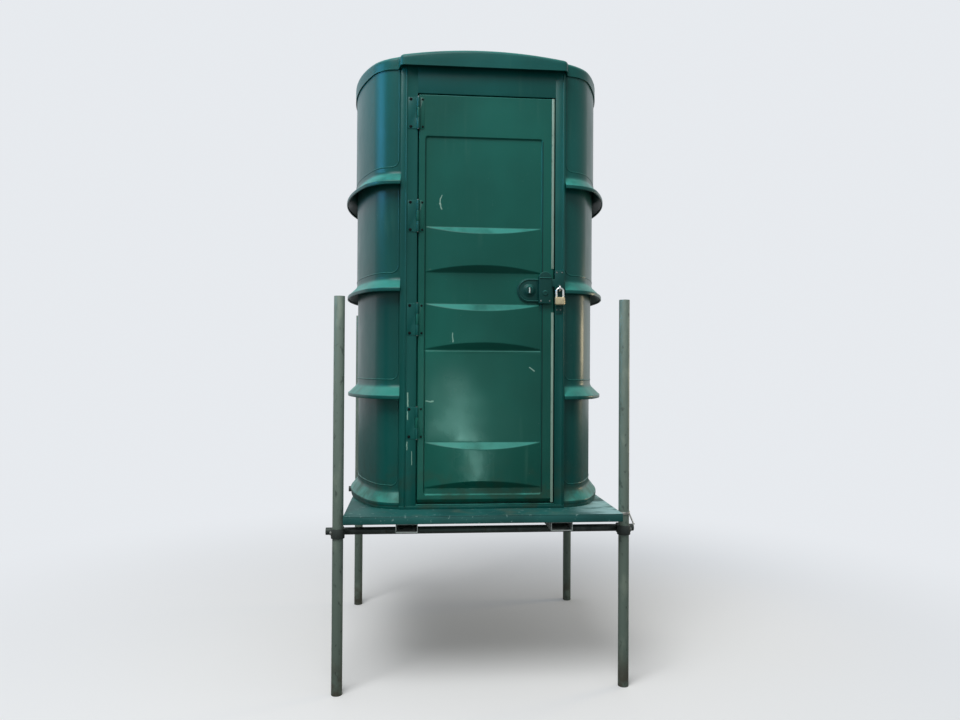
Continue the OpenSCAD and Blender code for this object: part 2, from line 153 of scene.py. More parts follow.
# %% [markdown]
# ## Finishes
#
# Every finish starts from a Principled shader and the object's own coordinates, which are the same as the
# cabin's, so a pattern lies at its real size. Masks made of noise say where dust, streaks, scuffs and chips
# are; each mask mixes a second colour in and changes the roughness with it. A stroke is a mask along one
# line, for a scratch, a painted shade line or a painted highlight line, and shows only on faces at the front
# that look forward.

# %% The finish builder
UNEVEN = 0.10
FRONT_DEPTH = 0.06


class Finish:
    """One material under construction. Its roughness wanders round the given value, by UNEVEN in all."""

    def __init__(self, slot, colour, roughness, metallic=0.0, shine=0.5):
        self.material = bpy.data.materials.new(slot)
        self.material.use_nodes = True
        self.tree = self.material.node_tree
        self.shader = self.tree.nodes["Principled BSDF"]
        set_inputs(self.tree, self.shader, {"Metallic": metallic, "Specular IOR Level": shine})
        coordinates = self.node("ShaderNodeTexCoord")
        self.place = coordinates["Object"]
        self.x, self.y, self.z = self.split(self.place)
        self.back, self.up = self.split(coordinates["Normal"])[1:]
        self.colour = self.node("ShaderNodeRGB")[0]
        self.colour.default_value = (*colour, 1)
        self.roughness = self.noise(6.0).between(0, 1) * UNEVEN + (roughness - UNEVEN / 2)

    def node(self, kind, inputs=None, settings=None):
        return add_node(self.tree, kind, inputs, settings)

    def split(self, vector):
        return [Value(self.tree, part) for part in self.node("ShaderNodeSeparateXYZ", {0: vector})]

    def noise(self, scale, stretch=(1, 1, 1), detail=3.0, seed=0.0):
        """Noise from 0 to 1, about scale features a metre. A small stretch draws it out along that axis."""
        inputs = {"Vector": self.place, "Scale": stretch, "Location": (seed, seed * 0.7, seed * 0.3)}
        mapped = self.node("ShaderNodeMapping", inputs)[0]
        made = self.node("ShaderNodeTexNoise", {"Vector": mapped, "Scale": scale, "Detail": detail})
        return Value(self.tree, made["Fac"])

    def stroke(self, start, end, width):
        """1 on a line on the front, from start to end as (x, z). The shorter it is, the more it wavers."""
        length = math.dist(start, end)
        waver = width * min(1.5, 0.06 / length)
        run, rise = (end[0] - start[0]) / length, (end[1] - start[1]) / length
        from_x, from_z = self.x - start[0], self.z - start[1]
        along = from_x * run + from_z * rise
        across = from_x * rise - from_z * run + (self.noise(60, detail=2) - 0.5) * waver
        beyond = (0 - along).larger(along - length).larger(0.0)
        away = across.math("ABSOLUTE", across).larger(beyond)
        near_front = 1 - self.y.between(FRONT_Y, FRONT_Y + FRONT_DEPTH)
        forward = near_front * (1 - self.back.between(-0.7, -0.3))
        return (1 - away.between(width * 0.1, width * 0.7)) * forward

    def over(self, colour, mask, rougher=0.0):
        """Lays another colour where the mask is 1, and makes that place rougher or, if negative, smoother."""
        inputs = {"Factor": mask.clamped(), 6: self.colour, 7: (*colour, 1)}
        self.colour = self.node("ShaderNodeMix", inputs, {"data_type": "RGBA"})[2]
        if rougher:
            self.roughness = self.roughness + mask * rougher

    def done(self, height):
        """Joins it all to the shader, with a bump of this height in millimetres."""
        bump = self.node("ShaderNodeBump", {"Strength": 1.0, "Distance": 0.001, "Height": height})[0]
        inputs = {"Base Color": self.colour, "Roughness": self.roughness.clamped(), "Normal": bump}
        set_inputs(self.tree, self.shader, inputs)
        return self.material


# %% [markdown]
# ## The moulded plastic
#
# The shell was formed from warm sheet over a mould, so its gloss is soft and its reflections waver. It has
# stood under trees: rain leaves pale runs down the walls and soil splashes up from the deck. Faces that look
# up, such as the skirts' slopes, turn a lighter teal in patches: part dust, part painted top light. All of
# the plastic pieces share one recipe with settings of their own. The roof has less dirt and less painted top
# light. The door and the left jamb carry pale scratches. Painted shade lines run down the sunk field's sides,
# and a painted highlight line runs along the top of the lowest panel. Low on the door, two patches are wiped
# smooth.

# %% Plastic finishes
# PALE is for scratches; the second tone is a painted highlight and the third is painted shade.
PALE, PAINTED_HIGHLIGHT, PAINTED_SHADE = (0.36, 0.56, 0.46), (0.075, 0.300, 0.245), (0.001, 0.010, 0.010)
# The second colour, for faces that look up, is part dust and part painted top light.
RAIN, DUST_AND_TOP_LIGHT = (0.045, 0.15, 0.11), (0.055, 0.330, 0.270)
SOIL, SPECK = (0.034, 0.050, 0.028), (0.12, 0.22, 0.17)
SPLASH_LOW, SPLASH_HIGH = DECK_Z + 0.03, DECK_Z + 0.28


def moulded_plastic(slot, colour, roughness, faded=0.5, dirt_and_top_light=1.0, marks=(), wiped=()):
    """Marks are (start, end, width, tone) and wiped patches (centre, radius, smoother), placed by x and z."""
    made = Finish(slot, colour, roughness, shine=0.2)
    lighter = tuple(1.4 * c + 0.002 for c in colour)
    darker = tuple(0.62 * c for c in colour)
    made.over(darker, made.noise(1.7, seed=3).between(0.42, 0.72) * 0.55)
    made.over(lighter, made.noise(2.6, (1, 1, 0.5), seed=9).between(0.45, 0.75) * faded, rougher=0.05)
    runs = made.noise(26, (1, 1, 0.06), seed=5).between(0.58, 0.74) * made.noise(3, seed=8).between(0.4, 0.7)
    made.over(RAIN, runs * (0.3 * dirt_and_top_light), rougher=0.15)
    # Faces that look up turn a lighter teal in patches: part dust, part painted top light.
    ledge = made.up.between(0.25, 0.75) * made.noise(9, seed=2).between(0.10, 0.58)
    made.over(DUST_AND_TOP_LIGHT, ledge * (0.7 * dirt_and_top_light), rougher=0.1)
    foot = 1 - made.z.between(SPLASH_LOW, SPLASH_HIGH)
    splash = foot * made.noise(14, detail=6, seed=4).between(0.42, 0.66)
    made.over(SOIL, splash * (0.5 * dirt_and_top_light), rougher=0.2)
    specks = made.noise(150, detail=1, seed=6).between(0.73, 0.78) * made.noise(4, seed=7).between(0.5, 0.6)
    made.over(SPECK, specks * 0.5)
    for start, end, width, tone in marks:
        made.over(tone, made.stroke(start, end, width) * 0.8, rougher=0.2)
    for centre, radius, smoother in wiped:
        from_x, from_z = made.x - centre[0], (made.z - centre[1]) * 0.7
        ragged = made.noise(11, detail=4, seed=13) * (1.3 * radius ** 2)
        away = from_x * from_x + from_z * from_z + ragged
        made.roughness = made.roughness - (1 - away.between(0.4 * radius ** 2, 1.9 * radius ** 2)) * smoother
    return made.done(made.noise(7, seed=11) * 2.2 + made.noise(420, detail=1) * 0.05)


# Heights between which the painted shade lines run down the field's sides.
SHADE_LINE_LOW, SHADE_LINE_HIGH = 0.912, 2.590
DOOR_MARKS = (
    ((-0.199, 2.323), (-0.207, 2.306), 0.0050, PALE),
    ((-0.207, 2.306), (-0.208, 2.284), 0.0060, PALE),
    ((-0.208, 2.284), (-0.200, 2.259), 0.0065, PALE),
    ((-0.268, 1.343), (-0.236, 1.341), 0.0070, PALE),
    ((0.226, 1.505), (0.249, 1.489), 0.0050, PALE),
    ((-0.146, 1.666), (-0.144, 1.625), 0.0050, PALE),
    # A painted highlight line along the top of the lowest panel's step.
    ((-0.276, 1.582), (0.276, 1.582), 0.0045, PAINTED_HIGHLIGHT),
    # Painted shade lines down the sunk field's two side edges, where its steps fall into shade.
    ((0.2855, SHADE_LINE_LOW), (0.2855, SHADE_LINE_HIGH), 0.0060, PAINTED_SHADE),
    ((-0.2795, SHADE_LINE_LOW), (-0.2795, SHADE_LINE_HIGH), 0.0035, PAINTED_SHADE),
)
DOOR_WIPED = (((-0.125, 1.300), 0.170, 0.15), ((-0.040, 1.045), 0.120, 0.20))
JAMB_MARKS = (
    ((-0.3555, 1.381), (-0.3550, 1.319), 0.0060, PALE),
    ((-0.3570, 1.293), (-0.3560, 1.257), 0.0050, PALE),
    ((-0.3580, 1.150), (-0.3580, 1.114), 0.0045, PALE),
    ((-0.3360, 1.105), (-0.3350, 1.043), 0.0035, PALE),
)
SHELL_COLOUR = (0.003, 0.084, 0.072)
PLASTICS = {
    "shell": dict(colour=SHELL_COLOUR, roughness=0.33, marks=JAMB_MARKS),
    "door_shell": dict(colour=(0.004, 0.094, 0.070), roughness=0.38, faded=0.6, marks=DOOR_MARKS,
                       wiped=DOOR_WIPED),
    "roof_plastic": dict(colour=SHELL_COLOUR, roughness=0.36, dirt_and_top_light=0.45),
    "latch_plastic": dict(colour=(0.003, 0.052, 0.044), roughness=0.42, faded=0.2, dirt_and_top_light=0.7),
    "fitting_paint": dict(colour=(0.003, 0.060, 0.052), roughness=0.40, faded=0.2, dirt_and_top_light=0.5),
}
FINISHES = {slot: moulded_plastic(slot, **recipe) for slot, recipe in PLASTICS.items()}

# %% [markdown]
# ## Painted and bare metal
#
# The deck's paint is chipped along its front edge and worn pale where people step up at the right. The posts
# are old scaffold-like tube: dull zinc gone grey-green. Only the padlock and its staple are bright.

# %% Metal finishes
def deck_paint():
    made = Finish("deck_paint", (0.014, 0.110, 0.100), 0.48, shine=0.3)
    made.over((0.008, 0.056, 0.052), made.noise(5, seed=1).between(0.4, 0.7) * 0.6)
    top = made.up.between(0.6, 0.9)
    edge_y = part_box("deck_sheet")[0].y
    front_edge = 1 - made.y.between(edge_y + 0.001, edge_y + 0.020)
    worn_side = made.x.between(0.38, 0.62) * top
    chips = made.noise(38, detail=5, seed=2).between(0.64, 0.67)
    rim = made.noise(46, detail=3, seed=5).between(0.63, 0.67) * front_edge
    worn = made.noise(15, (0.4, 1, 1), detail=6, seed=6).between(0.42, 0.56) * worn_side
    made.over((0.34, 0.56, 0.56), worn * 0.85, rougher=0.2)
    made.over((0.26, 0.42, 0.40), rim * 0.5 + chips * top * 0.35, rougher=0.15)
    dirt = made.noise(7, detail=5, seed=8).between(0.5, 0.72) * top
    made.over((0.10, 0.14, 0.10), dirt * 0.55, rougher=0.25)
    return made.done(worn * -0.25 + made.noise(300, detail=1) * 0.06)


def weathered_tube(slot, colour, pale, dark, metallic):
    made = Finish(slot, colour, 0.55, metallic)
    made.over(pale, made.noise(22, (1, 1, 0.35), detail=4, seed=1).between(0.5, 0.72) * 0.6)
    made.over(dark, made.noise(48, (1, 1, 0.5), detail=5, seed=3).between(0.60, 0.70) * 0.75, rougher=0.15)
    soil = (1 - made.z.between(0.02, 0.22)) * made.noise(20, detail=5, seed=4).between(0.3, 0.6)
    made.over((0.075, 0.062, 0.042), soil * 0.8, rougher=0.25)
    return made.done(made.noise(160, detail=3) * 0.18)


def plain_finish(slot, colour, dull, roughness, metallic, shine=0.5):
    made = Finish(slot, colour, roughness, metallic, shine)
    made.over(dull, made.noise(60, detail=4, seed=2).between(0.45, 0.7) * 0.6, rougher=0.15)
    return made.done(made.noise(500, detail=2) * 0.04)


def strip_trim():
    made = Finish("trim", (0.24, 0.36, 0.29), 0.42)
    streaks = made.noise(90, (1, 1, 0.12), detail=4, seed=2).between(0.5, 0.68)
    made.over((0.17, 0.26, 0.20), streaks * 0.7, rougher=0.2)
    made.over((0.08, 0.12, 0.09), made.noise(35, detail=5, seed=4).between(0.62, 0.72) * 0.8, rougher=0.2)
    return made.done(made.noise(200, detail=2) * 0.1)


TUBES = {
    "post_tube": ((0.150, 0.205, 0.168), (0.26, 0.32, 0.255), (0.06, 0.085, 0.07), 0.1),
    "dark_steel": ((0.040, 0.052, 0.046), (0.09, 0.11, 0.10), (0.05, 0.032, 0.02), 0.4),
    "joist_steel": ((0.33, 0.37, 0.35), (0.45, 0.48, 0.46), (0.14, 0.16, 0.14), 0.5),
}
PLAIN = {
    "wire": ((0.40, 0.41, 0.38), (0.20, 0.19, 0.16), 0.45, 0.8),
    "pin_steel": ((0.20, 0.22, 0.21), (0.10, 0.08, 0.06), 0.45, 0.9),
    "lock_brass": ((0.54, 0.46, 0.29), (0.30, 0.25, 0.15), 0.34, 0.85),
    "lock_steel": ((0.66, 0.68, 0.66), (0.38, 0.39, 0.37), 0.24, 1.0),
    "mark_paint": ((0.62, 0.70, 0.64), (0.40, 0.46, 0.41), 0.5, 0.0),
    "dark_rubber": ((0.003, 0.005, 0.005), (0.006, 0.009, 0.009), 0.7, 0.0, 0.1),
}
FINISHES.update({slot: weathered_tube(slot, *recipe) for slot, recipe in TUBES.items()})
FINISHES.update({slot: plain_finish(slot, *recipe) for slot, recipe in PLAIN.items()})
FINISHES.update(deck_paint=deck_paint(), trim=strip_trim())
print(len(FINISHES), "finishes")

# %% [markdown]
# ## Finishing a piece
#
# A new piece takes its finish, is shaded smooth except where faces meet at a real edge, rides on its body and
# hides the CAD node it stands for. MuJoCo goes on using the hidden node.

# %% Finish a piece
EDGE_ANGLE, FLAT_ANGLE = math.radians(32), math.radians(0.5)


def finish_piece(piece, body, slot, *covers, finish=None):
    mesh = piece.data
    mesh.materials.clear()
    mesh.materials.append(FINISHES[finish or slot])
    mesh.shade_smooth()
    mesh.set_sharp_from_angle(angle=EDGE_ANGLE)
    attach(piece, body)
    if covers:
        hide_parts(*covers)
    print(f"{piece.name}: {len(mesh.polygons)} faces")


def add_object(name, data):
    made = bpy.data.objects.new(name, data)
    bpy.context.scene.collection.objects.link(made)
    return made


def mesh_piece(name, points, faces):
    mesh = bpy.data.meshes.new(name)
    mesh.from_pydata([tuple(map(float, p)) for p in points], [], [tuple(map(int, f)) for f in faces])
    outward(mesh)
    return add_object(name, mesh)


def outward(mesh):
    """Turns a closed mesh's faces outwards and checks this by its volume."""
    shape = bmesh.new()
    shape.from_mesh(mesh)
    bmesh.ops.remove_doubles(shape, verts=shape.verts, dist=1e-6)
    bmesh.ops.recalc_face_normals(shape, faces=shape.faces)
    if shape.calc_volume(signed=True) < 0:
        bmesh.ops.reverse_faces(shape, faces=shape.faces)
    shape.to_mesh(mesh)
    shape.free()


def plain_mesh(host, name):
    """The evaluated object as a plain mesh piece; the host and its modifiers go."""
    graph = bpy.context.evaluated_depsgraph_get()
    mesh = bpy.data.meshes.new_from_object(host.evaluated_get(graph), depsgraph=graph)
    mesh.name = name
    bpy.data.objects.remove(host)
    return add_object(name, mesh)


def bevelled(host, name, edge, segments):
    """The host as a plain mesh piece with its real edges rounded."""
    bevel = host.modifiers.new("edge", "BEVEL")
    bevel.width = edge
    bevel.segments = segments
    bevel.limit_method = "ANGLE"
    bevel.angle_limit = EDGE_ANGLE
    return plain_mesh(host, name)


# %% [markdown]
# ## Dressed copies of the CAD nodes
#
# Flat-sided pieces already have the right shape, but a real edge is never perfectly sharp: it catches a thin
# line of light. A copy of the node is merged, its coplanar triangles are dissolved, and a Bevel modifier
# rounds what is left. The CAD node itself is never touched.

# %% Dress a CAD node
def dress(node, body, slot, edge, segments=2, finish=None):
    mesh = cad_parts[node].data.copy()
    shape = bmesh.new()
    shape.from_mesh(mesh)
    bmesh.ops.remove_doubles(shape, verts=shape.verts, dist=1e-5)
    bmesh.ops.dissolve_limit(shape, angle_limit=FLAT_ANGLE, verts=shape.verts, edges=shape.edges)
    shape.to_mesh(mesh)
    shape.free()
    piece = bevelled(add_object("bevel_host", mesh), "dressed_" + node, edge, segments)
    finish_piece(piece, body, slot, node, finish=finish)


DRESSED = {
    "shell": {"floor_pan": 0.001, "sill": 0.003, "jamb_left": 0.0025, "jamb_right": 0.0025, "header": 0.0025},
    "deck_paint": {"rail_front": 0.0022, "rail_back": 0.0022, "rail_left": 0.0022, "rail_right": 0.0022,
                   "deck_sheet": 0.0014},
    "post_tube": {f"post_{end}_{side}": 0.0008 for end in ("front", "back") for side in ("left", "right")},
    "dark_steel": {"post_clamps": 0.0015, "ledger_front": 0.0008, "ledger_back": 0.0008},
    "joist_steel": {"joist_left": 0.0012, "joist_right": 0.0012},
    "fitting_paint": {"jamb_keeper": 0.0008},
    "pin_steel": {"hinge_pins": 0.0006},
}
for slot, members in DRESSED.items():
    for node, edge in members.items():
        dress(node, "cabin", slot, edge)
dress("hinge_leaves_jamb", "cabin", "fitting_paint", 0.0005, finish="shell")
dress("hinge_leaves_door", "door", "fitting_paint", 0.0005, finish="door_shell")

# %% [markdown]
# ## One tree for everything that follows a path
#
# Wall rings, edge beads, the wire and the padlock's bar are all one cross-section carried along a path. One
# Geometry Nodes tree does this: Curve to Mesh, Realize Instances and Set Material. A level path keeps the
# curve's normals level, so that its section never rolls; on any other path they turn as little as they can.

# %% The sweep tree
def begin_tree(name, **kinds):
    """A tree that takes geometry and some more inputs, by name and kind, and gives geometry."""
    tree = bpy.data.node_groups.new(name, "GeometryNodeTree")
    for label, kind in {"Geometry": "Geometry", **kinds}.items():
        tree.interface.new_socket(label, in_out="INPUT", socket_type="NodeSocket" + kind)
    tree.interface.new_socket("Geometry", in_out="OUTPUT", socket_type="NodeSocketGeometry")
    return tree, add_node(tree, "NodeGroupInput")


def end_tree(tree, shape, finish):
    real = add_node(tree, "GeometryNodeRealizeInstances", {"Geometry": shape})[0]
    painted = add_node(tree, "GeometryNodeSetMaterial", {"Geometry": real, "Material": finish})[0]
    add_node(tree, "NodeGroupOutput", {"Geometry": painted})
    return tree


def run_tree(host, name, tree, **values):
    """Runs a tree on its host, its named inputs set, and gives a plain mesh piece."""
    modifier = host.modifiers.new("tree", "NODES")
    modifier.node_group = tree
    for item in tree.interface.items_tree:
        if item.item_type == "SOCKET" and item.in_out == "INPUT" and item.name in values:
            modifier[item.identifier] = values[item.name]
    return plain_mesh(host, name)


def sweep_tree():
    tree, start = begin_tree("sweep", Section="Object", Finish="Material")
    section = add_node(tree, "GeometryNodeObjectInfo", {"Object": start["Section"]})["Geometry"]
    inputs = {"Curve": start["Geometry"], "Profile Curve": section, "Fill Caps": True}
    swept = add_node(tree, "GeometryNodeCurveToMesh", inputs)[0]
    return end_tree(tree, swept, start["Finish"])


SWEEP = sweep_tree()


def curve_object(name, points, closed, level=True):
    """A curve through points in a plane or in space."""
    curve = bpy.data.curves.new(name, "CURVE")
    curve.dimensions = "3D"
    curve.twist_mode = "Z_UP" if level else "MINIMUM"
    spline = curve.splines.new("POLY")
    spline.points.add(len(points) - 1)
    spline.points.foreach_set("co", [c for p in points for c in (*p, 0, 0)[:3] + (1,)])
    spline.use_cyclic_u = closed
    return add_object(name, curve)


def sweep(name, path, section, finish, closed_path=False, level=True):
    """Carries a closed section along a path and gives a closed mesh piece."""
    host = curve_object("path", path, closed_path, level)
    profile = curve_object("section", section, closed=True)
    piece = run_tree(host, name, SWEEP, Section=profile, Finish=FINISHES[finish])
    bpy.data.objects.remove(profile)
    outward(piece.data)
    return piece


def arc(centre, radius, start, end, steps):
    """Points on an arc in a plane, angles in degrees."""
    turns = np.radians(np.linspace(start, end, steps + 1))
    return [(centre[0] + radius * math.cos(a), centre[1] + radius * math.sin(a)) for a in turns]


def round_section(radius, steps=12):
    return arc((0, 0), radius, 0, 360, steps)[:-1]


def join(name, *pieces):
    """Joins separate meshes into one piece."""
    shape = bmesh.new()
    for piece in pieces:
        shape.from_mesh(piece.data)
        bpy.data.objects.remove(piece)
    mesh = bpy.data.meshes.new(name)
    shape.to_mesh(mesh)
    shape.free()
    return add_object(name, mesh)


# %% [markdown]
# ## Wall rings
#
# Each ring of wall rises from a flared skirt: a lip, a slope, a soft inward curve, then the upright wall. Its
# section has rounded lip edges that the CAD leaves square, and is swept round the plan: corner arc, long
# bulged side, corner arc. The rings nest, so each one stands a wall's thickness inside the next. A low bead
# borders each panel: down its front edge, round above the skirt, and up again at its other end.

# %% Wall section
RINGS = ("foot", "low", "mid", "top")
FOOT = {"reach": 0.038, "slope": 0.050, "lip": 0.012}
HOOP = {"reach": HOOP_REACH, "slope": 0.048, "lip": 0.014}
FILLET, CROWN, LIP_ROUND, SEAT_ROUND = 0.034, 0.007, 0.0022, 0.0008


def bend_height(reach, slope, lip):
    """How far over the lip the upright wall begins."""
    return lip + slope + FILLET * math.tan(math.atan2(reach, slope) / 2)


def ring_section(reach, slope, lip, top):
    """A closed line of (distance out, height over the lip): down the outer face, round the lip, up inside."""
    lean = math.atan2(reach, slope)
    degrees = math.degrees(lean)
    bend = bend_height(reach, slope, lip)
    slope_end = lip + CROWN * math.cos(lean)
    crown = arc((reach - CROWN, lip - 0.001), CROWN, 90 - degrees, 0, 4)
    line = [(0, z) for z in np.linspace(top, bend + 0.01, 5)]
    line += arc((FILLET, bend), FILLET, 180, 180 + degrees, 10)
    line += [(reach - CROWN * math.sin(lean), slope_end)] + [p for p in crown if p[1] < slope_end]
    line += arc((reach - LIP_ROUND, LIP_ROUND), LIP_ROUND, 0, -90, 3)
    line += arc((reach - WALL + SEAT_ROUND, SEAT_ROUND), SEAT_ROUND, -90, -180, 2)
    line += [(reach - WALL, lip - WALL * math.tan(lean / 2))]
    line += arc((FILLET, bend), FILLET + WALL, 180 + degrees, 180, 10)
    return line + [(-WALL, top)]


def side_line(first=-90, grow=0.0, corner_steps=22, side_steps=56):
    """The right side's plan line, anticlockwise: front corner from the first angle, bulge, back corner."""
    turn = math.degrees(SIDE_TURN)
    line = arc((FRONT_HALF, -CORNER_Y), CORNER_R + grow, first, -turn, corner_steps)
    line += arc((SIDE_X, 0), SIDE_R + grow, -turn, turn, side_steps)[1:]
    return line + arc((FRONT_HALF, CORNER_Y), CORNER_R + grow, turn, 90, corner_steps)[1:]


def mirrored(line):
    return [(-x, y) for x, y in reversed(line)]


def right_of(line, closed=False):
    """Unit normals to the right of a line's direction, which is outwards on an anticlockwise plan."""
    line = np.array(line)
    if closed:
        along = np.roll(line, -1, axis=0) - np.roll(line, 1, axis=0)
    else:
        along = np.gradient(line, axis=0)
    along /= np.linalg.norm(along, axis=1)[:, None]
    return np.stack([along[:, 1], -along[:, 0]], axis=1)


# %% Sweep the wall rings
BEAD, BEAD_OUT = 0.004, 0.0018
BEAD_OVER_BEND, BEAD_UNDER_TOP = 0.016, 0.004
BORDER, BORDER_TURN = 0.009, 0.035


def border_bead(plan, inset, low, top):
    """A bead on the wall's face: a U whose ends run up beside the panel's two upright edges."""
    face = np.array(plan) + right_of(plan) * (BEAD_OUT - BEAD - inset)
    run = np.concatenate([[0], np.cumsum(np.hypot(*np.diff(plan, axis=0).T))])
    near, far, turn = BORDER, run[-1] - BORDER, BORDER_TURN
    line = [(near, z) for z in np.linspace(top, low + turn, 6)]
    line += arc((near + turn, low + turn), turn, 180, 270, 8)[1:]
    line += [(s, low) for s in np.linspace(near + turn, far - turn, 64)[1:-1]]
    line += arc((far - turn, low + turn), turn, -90, 0, 8)
    line += [(far, z) for z in np.linspace(low + turn, top, 6)[1:]]
    along, z = zip(*line)
    x, y = (np.interp(along, run, face[:, i]) for i in (0, 1))
    return sweep("bead", list(zip(x, y, z)), round_section(BEAD, 10), "shell", level=False)


PLANS = {
    "right": side_line(),
    "left": mirrored(side_line()),
    "back": [(x, HALF_D) for x in np.linspace(FRONT_HALF, -FRONT_HALF, 25)],
}
for count, ring in enumerate(RINGS):
    form = FOOT if ring == "foot" else HOOP
    inset = (len(RINGS) - 1 - count) * RING_STEP
    lip, top = (corner.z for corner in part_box(f"back_wall_{ring}"))
    section = [(x - inset, -z) for x, z in ring_section(**form, top=top - lip)]
    for place, plan in PLANS.items():
        wall = sweep("wall", [(x, y, lip) for x, y in plan], section, "shell")
        bead = border_bead(plan, inset, lip + bend_height(**form) + BEAD_OVER_BEND, top - BEAD_UNDER_TOP)
        finish_piece(join(f"{place}_ring_{ring}", wall, bead), "cabin", "shell", f"{place}_wall_{ring}")

# %% [markdown]
# ## Roof
#
# The roof is one moulding: an upright rim over the walls, a rounded shoulder, and a shallow dome. Its plan is
# the cabin's own, with a visor over the door. It is lofted from copies of that outline: a few move straight
# in to turn the shoulder, and the rest shrink to the middle and rise on the dome.

# %% Roof shape
roof_low, roof_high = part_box("roof")
VISOR_HALF = FRONT_HALF + RING_STEP
VISOR_ROUND, END_GAP = 0.022, 0.06
RIM_H, SHOULDER, DOME_RISE = 0.03, 0.016, 0.085
DOME_R = (roof_low.y ** 2 + DOME_RISE ** 2) / (2 * DOME_RISE)
DOME_SHARES = (0.97, 0.93, 0.88, 0.82, 0.75, 0.66, 0.56, 0.46, 0.36, 0.26, 0.16, 0.07)


def roof_outline():
    """The roof's outer outline, anticlockwise from the visor's left end."""
    front, turn_x = roof_low.y, VISOR_HALF - VISOR_ROUND
    line = arc((-turn_x, front + VISOR_ROUND), VISOR_ROUND, 180, 270, 6)
    line += [(x, front) for x in np.linspace(-VISOR_HALF + END_GAP, VISOR_HALF - END_GAP, 15)]
    line += arc((turn_x, front + VISOR_ROUND), VISOR_ROUND, -90, 0, 6)
    right = side_line(-85, RING_STEP, 16, 44)
    back = [(x, HALF_D + RING_STEP) for x in np.linspace(FRONT_HALF - END_GAP, -FRONT_HALF + END_GAP, 13)]
    return np.array(line + right + back + mirrored(right))


def dome_points(flat, thick, drop=0.0):
    """Plan points lifted onto the dome, thick under its outer face, and lowered by drop."""
    rise = np.sqrt(np.maximum((DOME_R - thick) ** 2 - (flat ** 2).sum(axis=1), 0))
    return np.column_stack([flat, roof_high.z - DOME_R + rise - drop])


def roof_skin(line, inwards, thick):
    """Loops of one skin, from the rim's foot to near the middle."""
    base = line + inwards * thick
    shoulder = max(SHOULDER - thick, 0.004)
    loops = [np.column_stack([base, np.full(len(base), z)]) for z in (roof_low.z, roof_low.z + RIM_H)]
    for turn in np.linspace(0, math.pi / 2, 7):
        flat = base + inwards * shoulder * (1 - math.cos(turn))
        loops.append(dome_points(flat, thick, shoulder * (1 - math.sin(turn))))
    inner = base + inwards * shoulder
    return loops + [dome_points(inner * share, thick) for share in DOME_SHARES]


def build_roof():
    line = roof_outline()
    inwards = -right_of(line, closed=True)
    count = len(line)
    points = np.vstack([*reversed(roof_skin(line, inwards, 0.0)), *roof_skin(line, inwards, WALL)])
    faces = []
    for a in range(0, len(points) - count, count):
        for i in range(count):
            j = (i + 1) % count
            faces.append((a + i, a + j, a + count + j, a + count + i))
    for first, thick in ((0, 0.0), (len(points) - count, WALL)):
        points = np.vstack([points, dome_points(np.zeros((1, 2)), thick)])
        faces += [(first + i, first + (i + 1) % count, len(points) - 1) for i in range(count)]
    finish_piece(mesh_piece("roof_shell", points, faces), "cabin", "shell", "roof", finish="roof_plastic")


build_roof()

# %% [markdown]
# ## Door leaf
#
# The door is one pressed sheet with a folded edge. Its front is a height over the leaf's plane: a sunk field,
# and three ribs that bow out of it like the face of a barrel, cut off by slanted faces above and below. Where
# two of these shapes meet, a smooth minimum or maximum leaves the soft radius of a pressing. The lowest panel
# stands out a little, the leaf's foot slants back, and the field has a soft dent and a faint ripple. The
# grid's lines are close together only where the height turns, so that the piece stays light.

# %% Heights of the pressing
STILE_HINGE, STILE_LATCH = 0.030, 0.055
RAIL_TOP, RAIL_BOTTOM = 0.195, 0.037
SINK, SKIN, FOLD, FOLD_GAP = 0.008, 0.006, 0.026, 4e-4
FIELD_CORNER, FIELD_SLOPE, EDGE_TURN, PRESS = 0.014, 0.007, 0.0035, 0.0035
RIB_RISE, RIB_H, RIB_SLOPE = 0.028, 0.217, 1.2
RIB_FEET = (0.099, 0.757, 1.124)
TOE_H, TOE_D = 0.018, 0.016
PANEL_TOP = DECK_Z + RIB_FEET[1] - 0.007
PANEL_RISE, PANEL_H, PANEL_FADE, RIPPLE = 0.0025, 0.30, 0.15, 0.0004
DENT_X, DENT_Z, DENT_DEPTH, DENT_SPREAD = -0.14, 0.468, 0.0016, 0.012
field_low = Vector((leaf_low.x + STILE_HINGE, 0, leaf_low.z + RAIL_BOTTOM))
field_high = Vector((leaf_high.x - STILE_LATCH, 0, leaf_high.z - RAIL_TOP))
field_mid, field_half = (field_low.x + field_high.x) / 2, (field_high.x - field_low.x) / 2
BOW_R = (field_half ** 2 + RIB_RISE ** 2) / (2 * RIB_RISE)


def soft_min(a, b):
    blend = np.clip(0.5 + 0.5 * (b - a) / PRESS, 0, 1)
    return b + (a - b) * blend - PRESS * blend * (1 - blend) / 2


def soft_max(a, b):
    return -soft_min(-a, -b)


def inside(x, z, low, high, corner):
    """Distance in from the edge of a rectangle with rounded corners."""
    across = np.abs(x - (low.x + high.x) / 2) - (high.x - low.x) / 2 + corner
    along = np.abs(z - (low.z + high.z) / 2) - (high.z - low.z) / 2 + corner
    outside = np.hypot(np.maximum(across, 0), np.maximum(along, 0))
    return corner - outside - np.minimum(np.maximum(across, along), 0)


